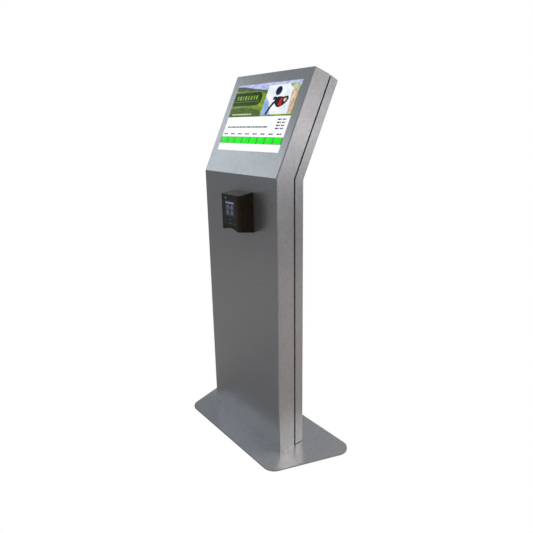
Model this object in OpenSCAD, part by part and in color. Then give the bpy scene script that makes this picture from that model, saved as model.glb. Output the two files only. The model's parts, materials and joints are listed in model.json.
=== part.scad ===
// Free-standing touchscreen kiosk: a sheet-steel column on a flared floor plate, with a head that
// leans back, a hinged rear door, a 19-inch class display and a contactless card reader.
// The origin is on the floor at the centre of the column's footprint. +Z is up, the user stands at
// -Y, and +X is to the user's right. All lengths are in millimetres and all angles in degrees.

/* [Column] */
// Width of the column and of the head
body_w = 480; // [470:1:500]
// Depth of the column, front face to rear face
body_d = 127; // [125:1:140]
// Height of the knee, where the front face starts to lean back, above the floor
knee_z = 1128.5; // [1100:0.5:1200]
// Outside radius of the bends down the vertical edges
bend_r = 4; // [2.5:0.5:8]

/* [Head] */
// Length of the head's front face, from the knee to the top edge
head_l = 415; // [410:1:440]
// Lean of the head back from upright
head_lean = 25.8; // [20:0.2:32]
// Depth of the head as a share of the depth of the column
head_slim = 0.953; // [0.95:0.001:1]
// Rise of the head's top towards the back, in mm per mm of depth
top_rise = 0.131; // [0:0.001:0.2]

/* [Shell and door] */
// Depth of the front shell
shell_d = 80; // [78:1:84]
// Width of the dark seam between the front shell and the rear door
seam = 7; // [7:0.5:9]
// Thickness of the front shell's sheet
sheet = 2; // [1.5:0.1:2.4]
// Thickness of the rear door's sheet
door_t = 1.5; // [1.2:0.1:2]

/* [Floor plate] */
// Width of the floor plate at its front edge, before the corners are rounded
plate_w_front = 612; // [580:2:640]
// Width of the floor plate at its rear edge, before the corners are rounded
plate_w_back = 852; // [800:2:900]
// How far the plate reaches in front of the column
plate_front = 103; // [100:1:140]
// How far the plate reaches behind the column
plate_back = 129.5; // [110:0.5:160]
// Thickness of the plate
plate_t = 6; // [5:0.5:10]
// Radius of the plate's corners
plate_r = 52; // [30:1:70]
// Distance between floor anchors across the kiosk
anchor_x = 300; // [280:5:320]
// Distance between floor anchors from front to back
anchor_y = 60; // [50:2:60]

/* [Screen] */
// Width of the screen opening
screen_w = 400; // [380:1:404]
// Height of the screen opening
screen_h = 279; // [260:1:284]
// Distance from the knee up to the lower edge of the screen opening
screen_s = 93; // [86:1:100]

/* [Card reader] */
// Width of the card reader
reader_w = 118; // [112:1:124]
// How far the card reader stands out of the column
reader_d = 68; // [60:1:80]
// Height of the card reader
reader_h = 154; // [150:1:166]
// Offset of the card reader to the right of the centre line
reader_x = 41; // [0:1:60]
// Drop of the card reader's top towards the user
reader_drop = 8; // [0:1:10]
// Height of the card reader's lower edge above the floor
reader_z = 913; // [880:1:930]

/* [Hidden] */
$fn = 64;

// Colours
coat = [0.62, 0.64, 0.66];
black_steel = [0.12, 0.12, 0.13];
black_plastic = [0.07, 0.07, 0.07];
rubber = [0.05, 0.05, 0.05];
zinc = [0.72, 0.72, 0.70];
galvanised = [0.60, 0.62, 0.64];
circuit_green = [0.05, 0.30, 0.14];

// Fits
gap = 0.3;              // play between pieces that only sit next to each other
bore_play = 0.05;       // radial play of a shaft that turns in a bore
touch = 0.05;           // clearance between faces that are clamped together
eps = 1;                // how far a cutter runs past the face it cuts

// Column, counted in depth from the column's front face
front_y = -body_d / 2;
door_c = shell_d + seam;
return_lip = 22;        // width of the front shell's return flange
foot_lip = 12;          // width of the front shell's bottom flange
door_lip = 30;          // width of the rear door's return flange
door_foot = 3;          // clearance between the door and the floor plate
door_z = plate_t + door_foot;

// Inner frame
frame_t = 3;
frame_c = shell_d + touch;      // depth of the frame's front face
frame_x = body_w / 2 - 6;      // the frame stands 6 mm inside the shell's sides
rail_in = 206;                 // inner side of the side rails
web_t = 2;
web_c = 50;                    // depth at which the rail webs start
top_inset = 0.5;               // the top member is let in between the side rails by this much
foot_t = 4;
foot_c = 14;

// Hinges, in the seam at the left of the column
hinge_x = -body_w / 2 - 1;
hinge_c = shell_d + seam / 2;
knuckle_r = 3.3;
pin_r = 1.6;
knuckle_l = 16;
knuckles = 5;
leaf_t = 1.2;
leaf_in = 20;                  // width of a leaf, from the column's side inwards
hinge_l = knuckle_l * knuckles;
hinge_heights = [110, 560, 1010];

// Locks, near the right edge of the rear door
lock_x = 178;
lock_heights = [330, 930];     // lower, upper
lock_r = 9;
plug_r = 7;
lock_depth = 24;               // length of the lock body behind the door's outside
cam_t = 2.5;
cam_w = 16;
cam_reach = 24;
tongue_t = 2;

// Display stack, counted in depth from the head's front face
screen_mid = screen_s + screen_h / 2;
glass_t = 3;
glass_h0 = 0.2;                // the glass sits almost flush in its opening
glass_play = 0.4;              // gap all round between the glass and the sheet
tape_t = 1;                    // foam tape between the glass and the display module
tape_w = 5;
lcd_lap = 12;
lcd_t = 12;
lcd_h0 = glass_h0 + glass_t + tape_t;
chassis_t = 1.5;
chassis_h0 = lcd_h0 + lcd_t + gap;
ear_h0 = 12;                   // depth of the chassis ears
stud_x = 226;
stud_s = [-110, 0, 110];       // studs, from the middle of the screen
stud_r = 2;

// Equipment panel and what it carries
panel_c = 66;
panel_t = 2;
panel_z = [230, 860];
panel_back = panel_c + panel_t;
pc_size = [200, 36, 190];
pc_x = -20;
pc_z = 630;
psu_size = [160, 34, 90];
psu_x = -90;
psu_z = 470;
terminal_size = [90, 28, 44];
terminal_x = 100;
terminal_z = 490;
inlet_size = [56, 34, 60];
inlet_x = -120;
inlet_z = 300;
rocker_r = 8.5;
rocker_w = 12;
rocker_tilt = 10;
button_r = 6;
button_travel = 1.5;

// Fan, on the inside of the door in the head
fan_size = 80;
fan_t = 25;
fan_s = 270;
fan_duct_r = 37.5;
fan_hub_r = 17;
fan_hole = 35.75;
fan_blades = 7;

// Card reader
reader_wall = 2.5;
reader_edge_r = 8;
reader_rise = 10;              // the underside climbs by this much towards the user
arch_w = 88;
arch_h = 9;
face_t = 1.5;
face_w = 96;
face_h = 112;
bracket_t = 2;
lens_w = 66;
lens_h = 62;
reader_screw_x = 42;
reader_screw_z = [40, 128];
reader_hole_z = 84;
gland_r = 12;

// ---------------------------------------------------------------- geometry helpers

function head_depth(c) = c * head_slim;
// Corner of the bent profile for column depth c and head depth h, as [depth, height]
function knee(c, h) = [c, knee_z + (c * cos(head_lean) - h) / sin(head_lean)];
// How far up the head that point lies
function knee_s(c, h) = c * sin(head_lean) + (knee(c, h)[1] - knee_z) * cos(head_lean);
// Point of the head at depth h, s above the knee, as [depth, height]
function head_point(h, s) = [h * cos(head_lean) + s * sin(head_lean),
                             knee_z + s * cos(head_lean) - h * sin(head_lean)];
// Where the head's top lies at depth h. It climbs as far as the seam and is level behind it
function head_top(h) = head_l + min(h, head_depth(shell_d)) * top_rise;

// Frame with y counted from the column's front face
module at_front() translate([0, front_y, 0]) children();

// Frame of the head: y is depth behind its front face and z is the distance above the knee
module in_head() at_front() translate([0, 0, knee_z]) rotate([-head_lean, 0, 0]) children();

// Prism from x0 to x1 whose section is points, each [depth, height]
module side_prism(x0, x1, points)
    translate([x0, 0, 0]) rotate([90, 0, 90]) linear_extrude(x1 - x0) polygon(points);

// Band that runs up the column and on up the head, between depths c in the column and h in the head
module bent_band(x0, x1, c, h, z0, drop = 0)
    side_prism(x0, x1, [
        [c[0], z0], knee(c[0], h[0]), head_point(h[0], head_top(h[0]) - drop),
        head_point(h[1], head_top(h[1]) - drop), knee(c[1], h[1]), [c[1], z0]]);

// Rectangle between depths d[0] and d[1], with rounded front and back corners
module plan(w, d, r_front, r_back) {
    translate([-w / 2, d[0] + r_front]) square([w, d[1] - d[0] - r_front - r_back]);
    for (end = [[r_front, d[0], d[0] + r_front], [r_back, d[1] - r_back, d[1] - r_back]])
        if (end[0] > 0) {
            translate([-w / 2 + end[0], end[1]]) square([w - 2 * end[0], end[0]]);
            for (side = [-1, 1]) translate([side * (w / 2 - end[0]), end[2]]) circle(end[0]);
        }
}

// Plan of what comes off the edges of a w wide body to round them to r. The arc bulges a little past
// the quarter circle, so it meets the flat faces at a slight crease
module edge_waste(w, r) for (side = [0, 1]) mirror([side, 0]) difference() {
    translate([w / 2 - r, -1]) square(r + 1);
    translate([w / 2 - r, r]) circle(1.01 * r);
}

// Bent band, w wide, with its front edges rounded to r. The cutters of the column and the head run past
// each other at the knee
module bent_body(w, c, h, z0, drop, r) difference() {
    bent_band(-w / 2, w / 2, c, h, z0, drop);
    translate([0, c[0], z0 - 1]) linear_extrude(knee_z + 20) edge_waste(w, r);
    translate([0, 0, knee_z]) rotate([-head_lean, 0, 0])
        translate([0, h[0], -20]) linear_extrude(head_l + body_d) edge_waste(w, r);
}

// Box given by its lowest and highest corners
module span(a, b) translate(a) cube(b - a);

// The same child on the left and on the right
module both_sides() for (side = [0, 1]) mirror([side, 0, 0]) children();

// Cylinder along +Y that starts at y = 0
module rod_y(r, l) rotate([-90, 0, 0]) cylinder(r = r, h = l);

// Round-ended slot, w long and h high, cut through l along +Y
module slot_y(w, h, l) rotate([-90, 0, 0]) linear_extrude(l) {
    square([w - h, h], center = true);
    for (side = [-1, 1]) translate([side * (w - h) / 2, 0]) circle(h / 2);
}

// Rectangle with rounded corners
module rounded_rect(w, h, r) {
    square([w - 2 * r, h], center = true);
    square([w, h - 2 * r], center = true);
    for (x = [-1, 1], z = [-1, 1]) translate([x * (w / 2 - r), z * (h / 2 - r)]) circle(r);
}

// Rounded rectangle standing in the x-z plane, t thick along +Y
module rounded_slab(w, h, r, t)
    rotate([90, 0, 0]) translate([0, 0, -t]) linear_extrude(t) rounded_rect(w, h, r);

// Hexagon along +Y, across its flats
module hex_y(flats, l) rotate([-90, 0, 0]) cylinder(r = flats / sqrt(3), h = l, $fn = 6);

// Cap screw that points along -Y: domed head outside y = 0 and shank inside
module screw_y(r, head_r, head_h, l) {
    translate([0, -l, 0]) rod_y(r, l + head_h / 2);
    difference() {
        rod_y(head_r, head_h);
        translate([0, head_h / 2, 0]) hex_y(r * 1.5, head_h);
    }
}

// Round cable through a list of points, with a moulded sleeve at each bend
module cable(points, r) {
    for (i = [0:len(points) - 2]) {
        run = points[i + 1] - points[i];
        translate(points[i]) rotate([0, acos(run[2] / norm(run)), atan2(run[1], run[0])])
            cylinder(r = r, h = norm(run), $fn = 24);
    }
    for (i = [1:len(points) - 2]) translate(points[i]) sphere(r * 1.25, $fn = 24);
}

// Outline with rounded corners: points in counter-clockwise order
function unit(v) = v / norm(v);
function half_angle(p, a, b) = acos(unit(a - p) * unit(b - p)) / 2;
function corner_centre(p, a, b, r) = p + unit(unit(a - p) + unit(b - p)) * r / sin(half_angle(p, a, b));
function tangent_point(p, a, b, r) = p + unit(a - p) * r / tan(half_angle(p, a, b));
module rounded_outline(points, r) {
    n = len(points);
    before = function (i) points[(i + n - 1) % n];
    after = function (i) points[(i + 1) % n];
    polygon([for (i = [0:n - 1]) each [
        tangent_point(points[i], before(i), after(i), r),
        tangent_point(points[i], after(i), before(i), r)]]);
    for (i = [0:n - 1]) translate(corner_centre(points[i], before(i), after(i), r)) circle(r, $fn = 96);
}

// ---------------------------------------------------------------- floor plate

bolt_x = 189;
bolt_c = [26, 47, 68];
bolt_r = 4;
cable_hole = [70, -17];
cable_hole_r = 21;
grommet_lip = 3;
grommet_t = 2;

module base_plate() color(coat) difference() {
    linear_extrude(plate_t) rounded_outline([
        [-plate_w_front / 2, front_y - plate_front], [plate_w_front / 2, front_y - plate_front],
        [plate_w_back / 2, plate_back - front_y], [-plate_w_back / 2, plate_back - front_y]], plate_r);
    for (x = [-1, 1], y = [-1, 1])
        translate([x * anchor_x / 2, y * anchor_y / 2, -eps]) cylinder(r = 6.5, h = plate_t + 2 * eps);
    translate([cable_hole[0], cable_hole[1], -eps]) cylinder(r = cable_hole_r, h = plate_t + 2 * eps);
    at_front() both_sides() for (c = bolt_c)
        translate([bolt_x, c, -eps]) cylinder(r = bolt_r + 0.1, h = plate_t + 2 * eps);
}

module cable_grommet() color(rubber) translate([cable_hole[0], cable_hole[1], 0]) difference() {
    union() {
        translate([0, 0, 0.5]) cylinder(r = cable_hole_r, h = plate_t);
        translate([0, 0, plate_t]) cylinder(r = cable_hole_r + grommet_lip, h = grommet_t);
    }
    translate([0, 0, -eps]) cylinder(r = cable_hole_r - grommet_lip, h = plate_t + grommet_t + 2 * eps);
}

module column_bolts() color(zinc) at_front() both_sides() for (c = bolt_c)
    translate([bolt_x, c, plate_t + foot_t]) {
        translate([0, 0, -plate_t - foot_t + 1]) cylinder(r = bolt_r, h = plate_t + foot_t);
        cylinder(r = 7.5, h = 1.2);
        translate([0, 0, 1.2]) cylinder(r = 13 / sqrt(3), h = 5, $fn = 6);
    }

// ---------------------------------------------------------------- front shell

frame_screw_z = [48, 290, 480, 720, 890];
frame_screw_s = [70, 350];
frame_screw_x = 226;

// Children at every frame screw, with y = 0 at the back of the frame's flange
module at_frame_screws() both_sides() {
    for (z = frame_screw_z) at_front() translate([frame_screw_x, shell_d + frame_t, z]) children();
    for (s = frame_screw_s) in_head()
        translate([frame_screw_x, head_depth(shell_d) + frame_t, s]) children();
}

module at_display_studs() both_sides() for (s = stud_s)
    in_head() translate([stud_x, sheet, screen_mid + s]) children();

module at_reader() at_front() translate([reader_x, 0, reader_z]) children();
module at_reader_screws() at_reader() for (x = [-1, 1], z = reader_screw_z)
    translate([x * reader_screw_x, 0, z]) children();

module front_shell() color(coat) {
    difference() {
        at_front() difference() {
            bent_body(body_w, [0, shell_d], [0, head_depth(shell_d)], plate_t, 0, bend_r);
            bent_body(body_w - 2 * sheet, [sheet, shell_d - sheet], [sheet, head_depth(shell_d) - sheet],
                plate_t + sheet, sheet, bend_r - sheet);
            bent_band(-body_w / 2 + return_lip, body_w / 2 - return_lip,
                [shell_d - 2 * sheet, shell_d + eps],
                [head_depth(shell_d) - 2 * sheet, head_depth(shell_d) + eps], plate_t - eps, return_lip);
            span([-body_w / 2 + foot_lip, foot_lip, plate_t - eps],
                [body_w / 2 - foot_lip, shell_d + eps, plate_t + sheet + eps]);
        }
        in_head() translate([0, -eps, screen_mid]) rounded_slab(screen_w, screen_h, 1.5, sheet + 2 * eps);
        at_frame_screws() translate([0, -frame_t - sheet - eps, 0]) rod_y(2.2, sheet + 2 * eps);
        at_reader_screws() translate([0, -eps, 0]) rod_y(2.2, sheet + 2 * eps);
        at_reader() translate([0, -eps, reader_hole_z]) rod_y(gland_r, sheet + 2 * eps);
    }
    at_display_studs() translate([0, -0.2, 0]) rod_y(stud_r, 16);
}

// ---------------------------------------------------------------- inner frame

module inner_frame() color(black_steel) difference() {
    union() {
        at_front() {
            both_sides() {
                bent_band(rail_in, frame_x, [frame_c, shell_d + frame_t],
                    [head_depth(shell_d) + touch, head_depth(shell_d) + frame_t], plate_t, 6);
                bent_band(rail_in, rail_in + web_t, [web_c, shell_d + frame_t],
                    [head_depth(web_c), head_depth(shell_d) + frame_t], plate_t, 28);
            }
            for (z = [plate_t, 1080])
                span([-rail_in - 1, frame_c, z], [rail_in + 1, shell_d + frame_t, z + 32]);
            difference() {
                span([-rail_in - web_t, foot_c, plate_t],
                    [rail_in + web_t, shell_d + frame_t, plate_t + foot_t]);
                span([-172, foot_c + 8, plate_t - eps], [172, 72, plate_t + foot_t + eps]);
            }
        }
        in_head() span([-frame_x + top_inset, head_depth(shell_d) + top_inset, head_top(shell_d) - 34],
            [frame_x - top_inset, head_depth(shell_d) + frame_t - top_inset,
                head_top(shell_d) - 6 - top_inset]);
    }
    at_frame_screws() translate([0, -frame_t - eps, 0]) rod_y(2.2, frame_t + 2 * eps);
    at_front() both_sides() for (c = bolt_c)
        translate([bolt_x, c, 0]) cylinder(r = bolt_r + 0.2, h = 20);
    at_panel_screws() translate([0, 0, -eps]) cylinder(r = 2.2, h = 8);
}

module frame_screws() color(zinc)
    at_frame_screws() translate([0, touch, 0]) screw_y(2, 4, 2.4, frame_t + sheet + 4);

// Foam seal on the frame that the closed door rests against
module door_gasket() color(rubber) {
    gasket_c = [shell_d + frame_t + touch, door_c - gap];
    gasket_h = [head_depth(shell_d) + frame_t + touch, head_depth(door_c) - gap];
    at_front() difference() {
        bent_band(-219, 219, gasket_c, gasket_h, 20, 14);
        bent_band(-211, 211, [gasket_c[0] - eps, gasket_c[1] + eps], [gasket_h[0] - eps, gasket_h[1] + eps],
            28, 22);
    }
}

// ---------------------------------------------------------------- rear door

vent_rows = 8;
vent_pitch = 14;
vent_z = 68;
vent_w = 84;
vent_h = 5;
vent_x = [-96, 0, 96];

module at_locks() for (z = lock_heights) at_lock(z) children();
// Frame of one lock: y = 0 on the outside of the door, with the lock's axis along y
module at_lock(z) at_front() translate([lock_x, body_d, z]) children();
// Frame of the fan: z = 0 on the inside of the door, with +z pointing forward
module at_fan() in_head() translate([0, head_depth(body_d) - door_t, fan_s]) rotate([90, 0, 0]) children();

module rear_door() color(coat) difference() {
    at_front() difference() {
        bent_band(-body_w / 2, body_w / 2, [door_c, body_d],
            [head_depth(door_c), head_depth(body_d)], door_z);
        bent_band(-body_w / 2 + door_t, body_w / 2 - door_t, [door_c + door_t, body_d - door_t],
            [head_depth(door_c) + door_t, head_depth(body_d) - door_t], door_z + door_t, door_t);
        translate([0, body_d, door_z - 1]) mirror([0, 1, 0])
            linear_extrude(knee(body_d, head_depth(body_d))[1] - door_z + 0.5)
                edge_waste(body_w, bend_r - 1);
        translate([0, 0, knee_z]) rotate([-head_lean, 0, 0])
            translate([0, head_depth(body_d), knee_s(body_d, head_depth(body_d)) + 0.5]) mirror([0, 1, 0])
                linear_extrude(head_l) edge_waste(body_w, bend_r - 1);
        bent_band(-body_w / 2 + door_lip, body_w / 2 - door_lip, [door_c - eps, door_c + 2 * door_t],
            [head_depth(door_c) - eps, head_depth(door_c) + 2 * door_t], door_z - eps, door_lip);
        span([-body_w / 2 + door_lip, door_c - eps, door_z - eps],
            [body_w / 2 - door_lip, body_d - 14, door_z + 2 * door_t]);
        for (x = vent_x, i = [0:vent_rows - 1])
            translate([x, body_d - 3 * door_t, vent_z + i * vent_pitch]) slot_y(vent_w, vent_h, 5 * door_t);
    }
    at_fan() for (i = [-3:3]) {
        chord = 2 * sqrt(pow(fan_duct_r, 2) - pow(i * 10, 2));
        translate([0, i * 10, -3 * door_t]) rotate([90, 0, 0]) slot_y(chord, 5, 5 * door_t);
    }
    at_fan() for (x = [-1, 1], y = [-1, 1])
        translate([x * fan_hole, y * fan_hole, -3 * door_t]) cylinder(r = 2.2, h = 5 * door_t);
    at_locks() translate([0, -3 * door_t, 0]) rod_y(lock_r + 0.15, 5 * door_t);
}

// Top-hat channels spot-welded across the inside of the door
module door_stiffeners() color(galvanised) at_front() for (z = [560, 1040]) {
    c1 = body_d - door_t;
    difference() {
        union() {
            span([-215, c1 - 16, z - 14], [215, c1, z + 14]);
            span([-215, c1 - 1.2, z - 26], [215, c1, z + 26]);
        }
        span([-216, c1 - 14.8, z - 12.8], [216, c1 + eps, z + 12.8]);
    }
}

module vent_filter() color([0.25, 0.25, 0.27]) at_front()
    span([-146, body_d - door_t - 8, vent_z - 12], [146, body_d - door_t, vent_z + vent_pitch * vent_rows]);

module filter_retainer() color(galvanised) at_front() difference() {
    span([-156, body_d - door_t - 9.2, vent_z - 22],
        [156, body_d - door_t, vent_z + vent_pitch * vent_rows + 10]);
    span([-146 - gap, body_d - door_t - 8 - gap, vent_z - 12 - gap],
        [146 + gap, body_d + eps, vent_z + vent_pitch * vent_rows + gap]);
    for (x = [-98, 0, 98], z = [-1, 1])
        translate([x, body_d - door_t - 12, vent_z + vent_pitch * vent_rows / 2 - 6 + z * 31])
            rounded_slab(88, 54, 4, 6);
}

// ---------------------------------------------------------------- door hinges

// Knuckle cylinders of one hinge: first is 0 for the frame's knuckles and 1 for the door's
module hinge_knuckles(first, play) for (i = [first:2:knuckles - 1])
    translate([0, 0, (i - knuckles / 2) * knuckle_l + play])
        cylinder(r = knuckle_r, h = knuckle_l - 2 * play);

module at_hinges() for (z = hinge_heights) at_front() translate([hinge_x, hinge_c, z]) children();

// One leaf: a plate between depths c0 and c1 from the pin, and tongues out to its own knuckles
module hinge_leaf(first, c0, c1, bore) {
    play = 0.15;
    plate_x = knuckle_r + gap;
    difference() {
        union() {
            hinge_knuckles(first, play);
            span([plate_x, c0, -hinge_l / 2], [leaf_in, c1, hinge_l / 2]);
            for (i = [first:2:knuckles - 1])
                span([pin_r + 0.4, c0, (i - knuckles / 2) * knuckle_l + play],
                    [plate_x + eps, min(c1, knuckle_r), (i + 1 - knuckles / 2) * knuckle_l - play]);
        }
        translate([0, 0, -hinge_l / 2 - eps]) cylinder(r = bore, h = hinge_l + 2 * eps);
    }
}

module hinge_frame_leaves() color(zinc) at_hinges()
    hinge_leaf(0, frame_t - seam / 2, frame_t - seam / 2 + leaf_t, pin_r + 0.02);

module hinge_door_leaves() color(zinc) at_hinges()
    hinge_leaf(1, seam / 2 - leaf_t, seam / 2, pin_r + bore_play);

module hinge_pins() color(zinc) at_hinges() {
    translate([0, 0, -hinge_l / 2 - 2]) cylinder(r = pin_r, h = hinge_l + 4);
    for (end = [-1, 1]) translate([0, 0, end * (hinge_l / 2 + 2)]) cylinder(r = 2.6, h = 2, center = true);
}

// ---------------------------------------------------------------- cam locks

module lock_bodies() color(zinc) at_locks() difference() {
    union() {
        translate([0, -lock_depth, 0]) rod_y(lock_r, lock_depth + 1);
        rod_y(11, 2.5);
    }
    translate([0, -lock_depth - eps, 0]) rod_y(plug_r + bore_play, lock_depth + 5);
}

module lock_nuts() color(zinc) at_locks() translate([0, -door_t - 4, 0]) difference() {
    hex_y(22, 4);
    translate([0, -eps, 0]) rod_y(lock_r + 0.1, 6);
}

module lock_plug(z) color([0.78, 0.78, 0.76]) at_lock(z) {
    difference() {
        translate([0, -lock_depth - 0.2, 0]) rod_y(plug_r, lock_depth + 3);
        span([-0.8, -4, -3.5], [0.8, 4, 3.5]);
    }
    translate([0, -lock_depth - 0.2 - cam_t, 0]) span([-4, 0, -4], [4, cam_t + eps, 4]);
}

module lock_cam(z) color(zinc) at_lock(z) translate([0, -lock_depth - 0.2 - cam_t, 0]) difference() {
    union() {
        rod_y(cam_w / 2, cam_t);
        span([-cam_w / 2, 0, 0], [cam_w / 2, cam_t, cam_reach - 4]);
        for (side = [-1, 1]) translate([side * (cam_w / 2 - 4), 0, cam_reach - 4]) rod_y(4, cam_t);
        span([-cam_w / 2 + 4, 0, cam_reach - 5], [cam_w / 2 - 4, cam_t, cam_reach]);
    }
    span([-4.1, -eps, -4.1], [4.1, cam_t + eps, 4.1]);
}

module cam_screw(z) color(zinc) at_lock(z) translate([0, -lock_depth - 0.2 - cam_t, 0])
    mirror([0, 1, 0]) difference() {
        rod_y(6.2, 2.6);
        translate([0, 1.2, 0]) hex_y(4, 3);
    }

module upper_lock_plug() lock_plug(lock_heights[1]);
module upper_lock_cam() lock_cam(lock_heights[1]);
module upper_cam_screw() cam_screw(lock_heights[1]);
module lower_lock_plug() lock_plug(lock_heights[0]);
module lower_lock_cam() lock_cam(lock_heights[0]);
module lower_cam_screw() cam_screw(lock_heights[0]);

// Brackets on the right-hand rail, with a tongue that the turned cam hooks behind
module lock_strikes() color(black_steel) at_front() for (z = lock_heights) {
    cam_back = body_d - lock_depth - 0.2;
    span([rail_in - 2, panel_back, z - 20], [rail_in, cam_back + 1 + tongue_t, z + 20]);
    span([lock_x + 12, cam_back + 1, z - 20], [rail_in, cam_back + 1 + tongue_t, z + 20]);
}

// ---------------------------------------------------------------- display

module at_screen(h) in_head() translate([0, h, screen_mid]) children();

module touch_glass() color([0.1, 0.12, 0.14, 0.5]) at_screen(glass_h0)
    rounded_slab(screen_w - 2 * glass_play, screen_h - 2 * glass_play, 1.2, glass_t);

module glass_gasket() color(rubber) at_screen(glass_h0 + glass_t) difference() {
    rounded_slab(screen_w - 1, screen_h - 1, 1.2, tape_t);
    translate([0, -eps, 0])
        rounded_slab(screen_w - 2 * tape_w, screen_h - 2 * tape_w, 1.2, tape_t + 2 * eps);
}

module lcd_panel() color(black_steel) at_screen(lcd_h0)
    rounded_slab(screen_w + 2 * lcd_lap, screen_h + 2 * lcd_lap, 1.5, lcd_t);

module display_chassis() color(galvanised) {
    w = screen_w + 2 * lcd_lap + 2 * gap;
    h = screen_h + 2 * lcd_lap + 2 * gap;
    difference() {
        union() {
            at_screen(ear_h0) difference() {
                rounded_slab(w + 2 * chassis_t, h + 2 * chassis_t, 2.5, chassis_h0 + chassis_t - ear_h0);
                translate([0, -eps, 0]) rounded_slab(w, h, 1.5, chassis_h0 - ear_h0 + eps);
            }
            both_sides() for (s = stud_s)
                at_screen(ear_h0) span([w / 2 + 1, 0, s - 14], [stud_x + 9, chassis_t, s + 14]);
        }
        at_display_studs() rod_y(stud_r + 0.3, 20);
        for (x = [-5:5], s = [-3:-1])
            at_screen(chassis_h0 - eps)
                translate([x * 30, 0, s * 40 - 2]) slot_y(20, 5, chassis_t + 2 * eps);
    }
}

module display_nuts() color(zinc)
    at_display_studs() translate([0, ear_h0 + chassis_t - sheet, 0]) difference() {
    hex_y(7, 3.2);
    translate([0, -eps, 0]) rod_y(stud_r + 0.05, 6);
}

// Circuit board on four pillars: w by h, standing t off the face at y = 0, components towards +y
module board(w, h, t) {
    span([-w / 2, t, -h / 2], [w / 2, t + 1.6, h / 2]);
    for (x = [-1, 1], z = [-1, 1]) translate([x * (w / 2 - 5), 0, z * (h / 2 - 5)]) rod_y(2.5, t + 0.1);
}

module lcd_controller() color(circuit_green) in_head()
    translate([-90, chassis_h0 + chassis_t, screen_mid + 60]) {
        board(140, 90, 5);
        span([-25, 6, -15], [5, 9, 15]);
        span([20, 6, -40], [60, 14, -28]);
        span([-62, 6, -38], [-30, 12, -26]);
        for (x = [20, 34, 48]) translate([x, 6, 18]) rod_y(5, 12);
    }

module touch_controller() color(circuit_green) in_head()
    translate([70, chassis_h0 + chassis_t, screen_mid + 70]) {
        board(70, 40, 5);
        span([-8, 6, -8], [8, 8.5, 8]);
        span([-28, 6, 6], [-12, 12, 14]);
    }

// ---------------------------------------------------------------- equipment in the column

panel_screw_z = [250, 480, 700, 840];
panel_flange = 14;

// Children at every panel screw, with z = 0 on the inner side of the panel's flange and +z outwards
module at_panel_screws() both_sides() for (z = panel_screw_z)
    at_front() translate([rail_in - panel_t, panel_c - panel_flange / 2, z]) rotate([0, 90, 0]) children();

module on_panel(x, z) at_front() translate([x, panel_back, z]) children();

module equipment_panel() color(galvanised) difference() {
    at_front() {
        span([-rail_in, panel_c, panel_z[0]], [rail_in, panel_back, panel_z[1]]);
        both_sides() span([rail_in - panel_t, panel_c - panel_flange, panel_z[0]],
            [rail_in, panel_c + 1, panel_z[1]]);
    }
    at_panel_screws() translate([0, 0, -eps]) cylinder(r = 2.2, h = 8);
    for (x = [-1, 1], z = [250, 420, 580]) on_panel(x * 165, z) translate([0, -5, 0]) slot_y(30, 8, 8);
}

module panel_screws() color(zinc) at_panel_screws() {
    cylinder(r = 2, h = 8);
    translate([0, 0, -2.4]) cylinder(r = 4, h = 2.4);
}

pc_button_x = 70;
pc_button_z = 25;

module pc_case() color(black_steel) difference() {
    on_panel(pc_x, pc_z) {
        span([-pc_size[0] / 2, 0, 0], [pc_size[0] / 2, pc_size[1] - 8, pc_size[2]]);
        // cooling fins
        for (i = [0:18]) span([-pc_size[0] / 2 + 5 + i * 10, 0, 45],
            [-pc_size[0] / 2 + 8.5 + i * 10, pc_size[1], pc_size[2]]);
        span([-pc_size[0] / 2, 0, 0], [pc_size[0] / 2, pc_size[1], 40]);
        // mounting ears
        span([-pc_size[0] / 2 - 14, 0, 20], [pc_size[0] / 2 + 14, 2, 50]);
        span([-pc_size[0] / 2 - 14, 0, 140], [pc_size[0] / 2 + 14, 2, 170]);
    }
    on_panel(pc_x + pc_button_x, pc_z + pc_button_z) translate([0, 24, 0]) rod_y(button_r + 0.2, 20);
    // sockets along the top
    for (x = [-70, -35, 0, 35]) on_panel(pc_x + x, pc_z + pc_size[2])
        span([-9, 8, -8], [9, 18, eps]);
    at_pc_screws() translate([0, -4, 0]) rod_y(2.2, 8);
}

module at_pc_screws() for (x = [-1, 1], z = [35, 155])
    on_panel(pc_x + x * (pc_size[0] / 2 + 7), pc_z + z) children();

module pc_button() color(zinc) on_panel(pc_x + pc_button_x, pc_z + pc_button_z)
    translate([0, 28, 0]) rod_y(button_r, pc_size[1] - 28 + button_travel);

module pc_screws() color(zinc) at_pc_screws() translate([0, 2, 0]) screw_y(2, 3.8, 2.4, 1.8);

module power_supply() color(galvanised) difference() {
    on_panel(psu_x, psu_z) span([-psu_size[0] / 2, 0, 0], [psu_size[0] / 2, psu_size[1], psu_size[2]]);
    on_panel(psu_x, psu_z) {
        // rows of cooling holes
        for (i = [0:8], j = [0:4]) translate([-60 + i * 12, psu_size[1] - 3, 18 + j * 13]) rod_y(3, 5);
        // screw terminals recess
        span([psu_size[0] / 2 - 14, 10, 10], [psu_size[0] / 2 + eps, psu_size[1] + eps, psu_size[2] - 10]);
    }
}

module terminal_block() color([0.55, 0.56, 0.55]) on_panel(terminal_x, terminal_z) difference() {
    union() {
        span([-terminal_size[0] / 2, 0, 12], [terminal_size[0] / 2, 6, 32]);
        for (i = [0:7]) translate([-38 + i * 9.5, 0, 0])
            span([0, 4, 0], [8.7, terminal_size[1], terminal_size[2]]);
    }
    for (i = [0:7], z = [9, 35]) translate([-33.6 + i * 9.5, 20, z]) rod_y(2.4, 12);
}

rocker_z = 42;           // height of the rocker's axis in the inlet
rocker_c = 28;           // depth of the rocker's axis in the inlet
rocker_pin_r = 1.5;

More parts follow.
